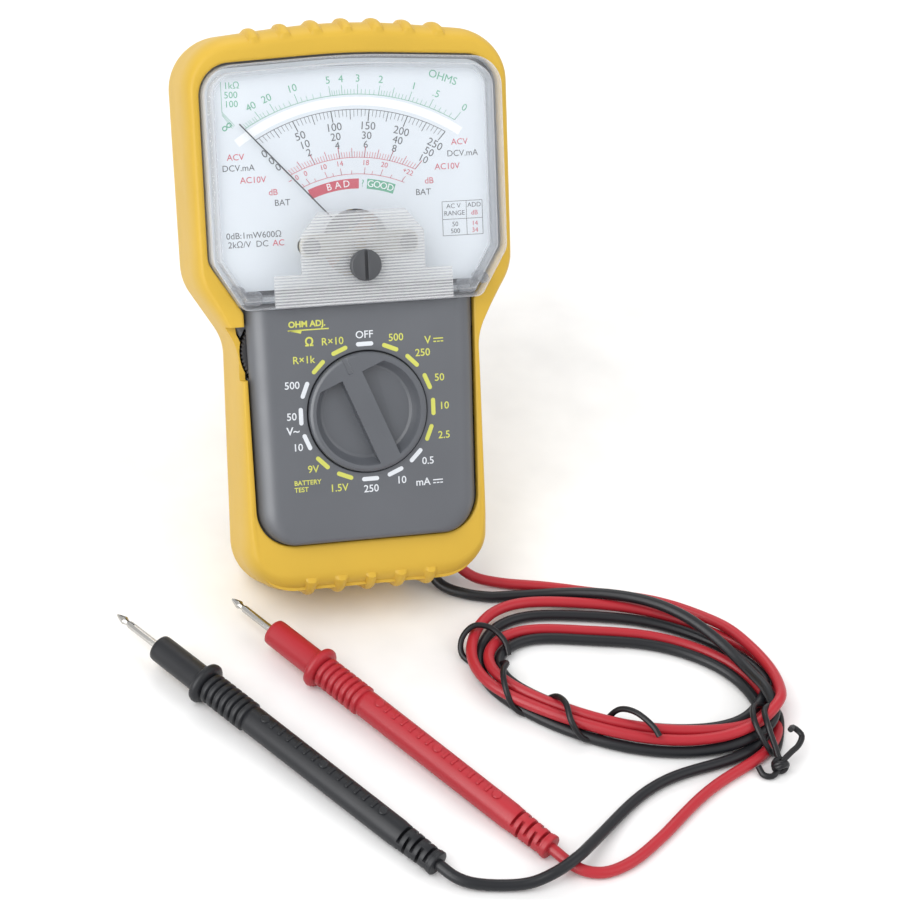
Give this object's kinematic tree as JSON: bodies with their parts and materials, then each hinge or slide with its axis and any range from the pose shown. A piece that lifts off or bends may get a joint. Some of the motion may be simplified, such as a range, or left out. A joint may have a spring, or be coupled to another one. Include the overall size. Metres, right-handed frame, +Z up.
{
  "type": "analog multimeter",
  "caption": "Pocket analog multimeter with needle dial and rotary range selector, in a soft holster propped on a tilt stand, with coiled test leads and probes.",
  "frame": {"origin": "centre of the propped meter's footprint, on the floor it stands on", "axes": "+Z up; +X to the right of somebody reading the dial; -Y towards the reader. The meter's back leans 57 degrees from the floor."},
  "size_m": [0.1772, 0.1998, 0.1395],
  "materials": {
    "holster": "satin moulded",
    "stand": "satin moulded",
    "case_grey": "satin moulded",
    "clear_window": "clear moulded",
    "dial": "matt printed",
    "dark_plastic": "satin",
    "cream_plastic": "satin",
    "steel": "bright",
    "magnet": "sintered",
    "brass": "bright",
    "copper": "enamelled wire",
    "board": "solder mask",
    "cell": "printed sleeve",
    "fuse_glass": "clear",
    "lead_black": "satin PVC",
    "lead_red": "satin PVC"
  },
  "bodies": {
    "meter": {"holster": "holster", "rear_case": "case_grey", "front_case": "case_grey", "window": "clear_window", "dial_plate": "dial", "lead_grommet_black": "dark_plastic", "lead_grommet_red": "dark_plastic", "ohm_pot_base": "dark_plastic", "movement_screw_left": "dark_plastic", "movement_screw_right": "dark_plastic", "front_bridge": "cream_plastic", "bridge_pillar_left": "cream_plastic", "bridge_pillar_right": "cream_plastic", "stand_pin": "steel", "case_screw_1": "steel", "case_screw_2": "steel", "case_screw_3": "steel", "case_screw_4": "steel", "detent_spring": "steel", "yoke_ring": "steel", "battery_contact_negative": "steel", "battery_contact_positive": "steel", "probe_tip_black": "steel", "probe_tip_red": "steel", "core_magnet": "magnet", "core_spacer_upper": "brass", "core_spacer_lower": "brass", "jewel_screw_front": "brass", "jewel_screw_rear": "brass", "rear_bridge": "brass", "fuse_clip_left": "brass", "fuse_clip_right": "brass", "circuit_board": "board", "battery_cell": "cell", "fuse": "fuse_glass", "lead_black_run": "lead_black", "lead_black_tail": "lead_black", "twist_tie_end": "lead_black", "twist_tie_side": "lead_black", "probe_handle_black": "lead_black", "lead_red_run": "lead_red", "lead_red_tail": "lead_red", "lead_coil": "lead_red", "probe_handle_red": "lead_red"},
    "selector": {"selector_knob": "case_grey", "wiper_carrier": "dark_plastic", "wiper_contact": "brass"},
    "needle": {"pointer": "dark_plastic", "moving_coil": "copper", "pivot_staff_front": "steel", "pivot_staff_rear": "steel", "hairspring_front": "brass", "hairspring_rear": "brass"},
    "zero_adjuster": {"zero_screw": "case_grey"},
    "zero_regulator": {"zero_lever": "cream_plastic"},
    "ohm_adjuster": {"ohm_thumbwheel": "dark_plastic"},
    "stand": {"tilt_stand": "stand"}
  },
  "joints": [
    {"name": "selector_turn", "type": "hinge", "parent": "meter", "child": "selector", "pos_m": [0, -0.0279, 0.05756], "axis": [0, -0.8387, 0.5446], "continuous": true},
    {"name": "needle_swing", "type": "hinge", "parent": "meter", "child": "needle", "pos_m": [0, -0.0031, 0.09391], "axis": [0, -0.8387, 0.5446], "range_deg": [-85, 0], "stiffness_Nm_per_rad": 0.0001},
    {"name": "zero_screw_turn", "type": "hinge", "parent": "meter", "child": "zero_adjuster", "pos_m": [0, -0.01175, 0.09345], "axis": [0, -0.8387, 0.5446], "range_deg": [-40, 40]},
    {"name": "zero_lever_swing", "type": "hinge", "parent": "meter", "child": "zero_regulator", "pos_m": [0, -0.00587, 0.09571], "axis": [0, -0.8387, 0.5446], "range_deg": [-12, 12]},
    {"name": "ohm_adjust_turn", "type": "hinge", "parent": "meter", "child": "ohm_adjuster", "pos_m": [-0.0204, -0.01412, 0.06887], "axis": [0, -0.8387, 0.5446], "range_deg": [-135, 135]},
    {"name": "stand_fold", "type": "hinge", "parent": "meter", "child": "stand", "pos_m": [0, 0.01691, 0.0678], "axis": [1, 0, 0], "range_deg": [-50.7, 0]}
  ],
  "couplings": [
    {"joint": "zero_lever_swing", "follows": "zero_screw_turn", "ratio": -0.27}
  ]
}
